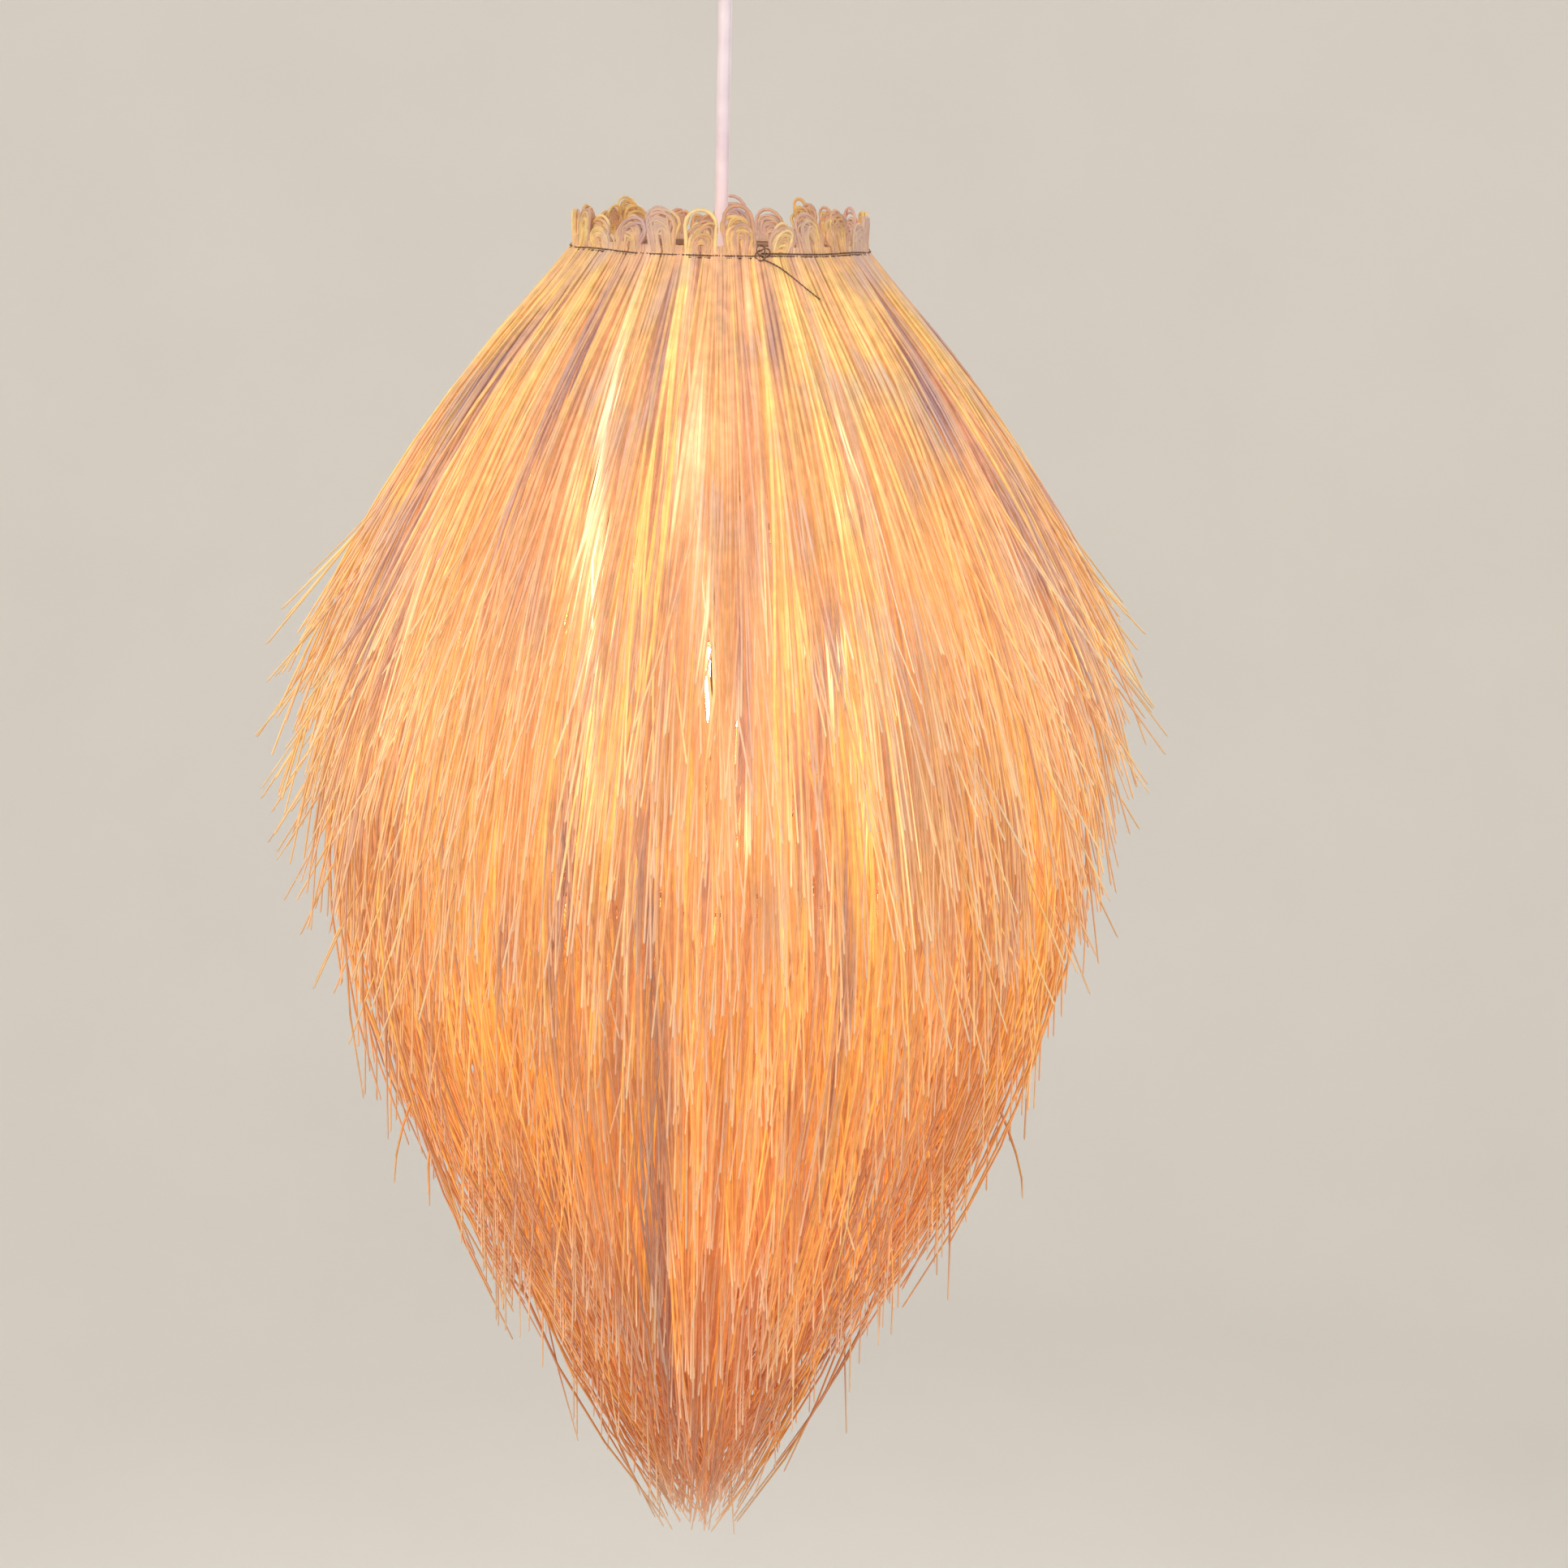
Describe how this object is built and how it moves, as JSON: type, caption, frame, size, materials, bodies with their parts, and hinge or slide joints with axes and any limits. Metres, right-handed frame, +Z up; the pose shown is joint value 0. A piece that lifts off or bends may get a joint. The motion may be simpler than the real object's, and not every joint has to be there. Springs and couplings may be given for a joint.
{
  "type": "pendant lamp",
  "caption": "Teardrop pendant lamp of dry straw tufts bent double and tied to a wire frame, hung by a short cord from a round ceiling cup, with a screw-in bulb inside.",
  "frame": {"origin": "middle of the ceiling bracket's top face, against the ceiling", "axes": "+Z up, out of the ceiling face; the lamp hangs along -Z; the bracket strap runs along X"},
  "size_m": [0.3938, 0.3925, 0.8007],
  "materials": {
    "zinc_steel": "zinc plated",
    "cup_white": "satin",
    "gland_nylon": "moulded",
    "block_plastic": "moulded",
    "brass": "plain",
    "core_insulation": "smooth",
    "cord_pvc": "smooth",
    "holder_white": "moulded",
    "socket_ceramic": "fired",
    "frame_wire": "lacquered wire",
    "straw_top": "dry straw",
    "straw_middle": "dry straw",
    "straw_lower": "dry straw",
    "twine": "twisted",
    "globe_opal": "opal",
    "housing_white": "moulded",
    "board_white": "solder mask",
    "cap_metal": "plated",
    "insulator_black": "fused glass"
  },
  "bodies": {
    "ceiling_fitting": {"ceiling_bracket": "zinc_steel", "ceiling_cup": "cup_white", "cup_screws": "zinc_steel", "cord_gland": "gland_nylon", "gland_nut": "gland_nylon", "terminal_block": "block_plastic", "terminal_screws": "brass", "ceiling_cores": "core_insulation"},
    "cord_end": {"cord_stub": "cord_pvc"},
    "lamp": {"pendant_cord": "cord_pvc", "holder_cap": "holder_white", "cord_grip_screw": "holder_white", "holder_body": "holder_white", "socket_core": "socket_ceramic", "socket_screws": "brass", "holder_cores": "core_insulation", "socket_shell": "brass", "centre_contact": "brass", "spider": "frame_wire", "neck_ring_wire": "frame_wire", "upper_ribs": "frame_wire", "middle_ring_wire": "frame_wire", "lower_ribs": "frame_wire", "lower_ring_wire": "frame_wire", "neck_binding": "twine", "middle_binding": "twine", "lower_binding": "twine", "top_straw_1": "straw_top", "top_straw_2": "straw_top", "top_straw_3": "straw_top", "top_straw_4": "straw_top", "top_straw_5": "straw_top", "top_straw_6": "straw_top", "top_straw_7": "straw_top", "top_straw_8": "straw_top", "top_straw_9": "straw_top", "top_straw_10": "straw_top", "top_straw_11": "straw_top", "top_straw_12": "straw_top", "middle_straw_1": "straw_middle", "middle_straw_2": "straw_middle", "middle_straw_3": "straw_middle", "middle_straw_4": "straw_middle", "middle_straw_5": "straw_middle", "middle_straw_6": "straw_middle", "lower_straw_1": "straw_lower", "lower_straw_2": "straw_lower", "lower_straw_3": "straw_lower", "lower_straw_4": "straw_lower", "lower_straw_5": "straw_lower", "lower_straw_6": "straw_lower"},
    "shade_ring": {"shade_ring": "holder_white"},
    "bulb_tip": {"bulb_contact": "cap_metal"},
    "bulb": {"bulb_globe": "globe_opal", "bulb_housing": "housing_white", "led_board": "board_white", "bulb_screw_cap": "cap_metal", "bulb_insulator": "insulator_black"}
  },
  "joints": [
    {"name": "cord_twist", "type": "hinge", "parent": "ceiling_fitting", "child": "cord_end", "pos_m": [0, 0, -0.036], "axis": [0, 0, 1], "range_deg": [-180, 180]},
    {"name": "cord_swing", "type": "hinge", "parent": "cord_end", "child": "lamp", "pos_m": [0, 0, -0.036], "axis": [0, 1, 0], "range_deg": [-20, 20]},
    {"name": "shade_ring_drop", "type": "slide", "parent": "lamp", "child": "shade_ring", "axis": [0, 0, -1], "range_m": [0, 0.022]},
    {"name": "bulb_drop", "type": "slide", "parent": "lamp", "child": "bulb_tip", "axis": [0, 0, -1], "range_m": [0, 0.0183]},
    {"name": "bulb_turn", "type": "hinge", "parent": "bulb_tip", "child": "bulb", "pos_m": [0, 0, -0.32], "axis": [0, 0, -1], "range_deg": [0, 1800]}
  ],
  "couplings": [
    {"joint": "bulb_drop", "follows": "bulb_turn", "m_per_rad": 0.00057773}
  ]
}
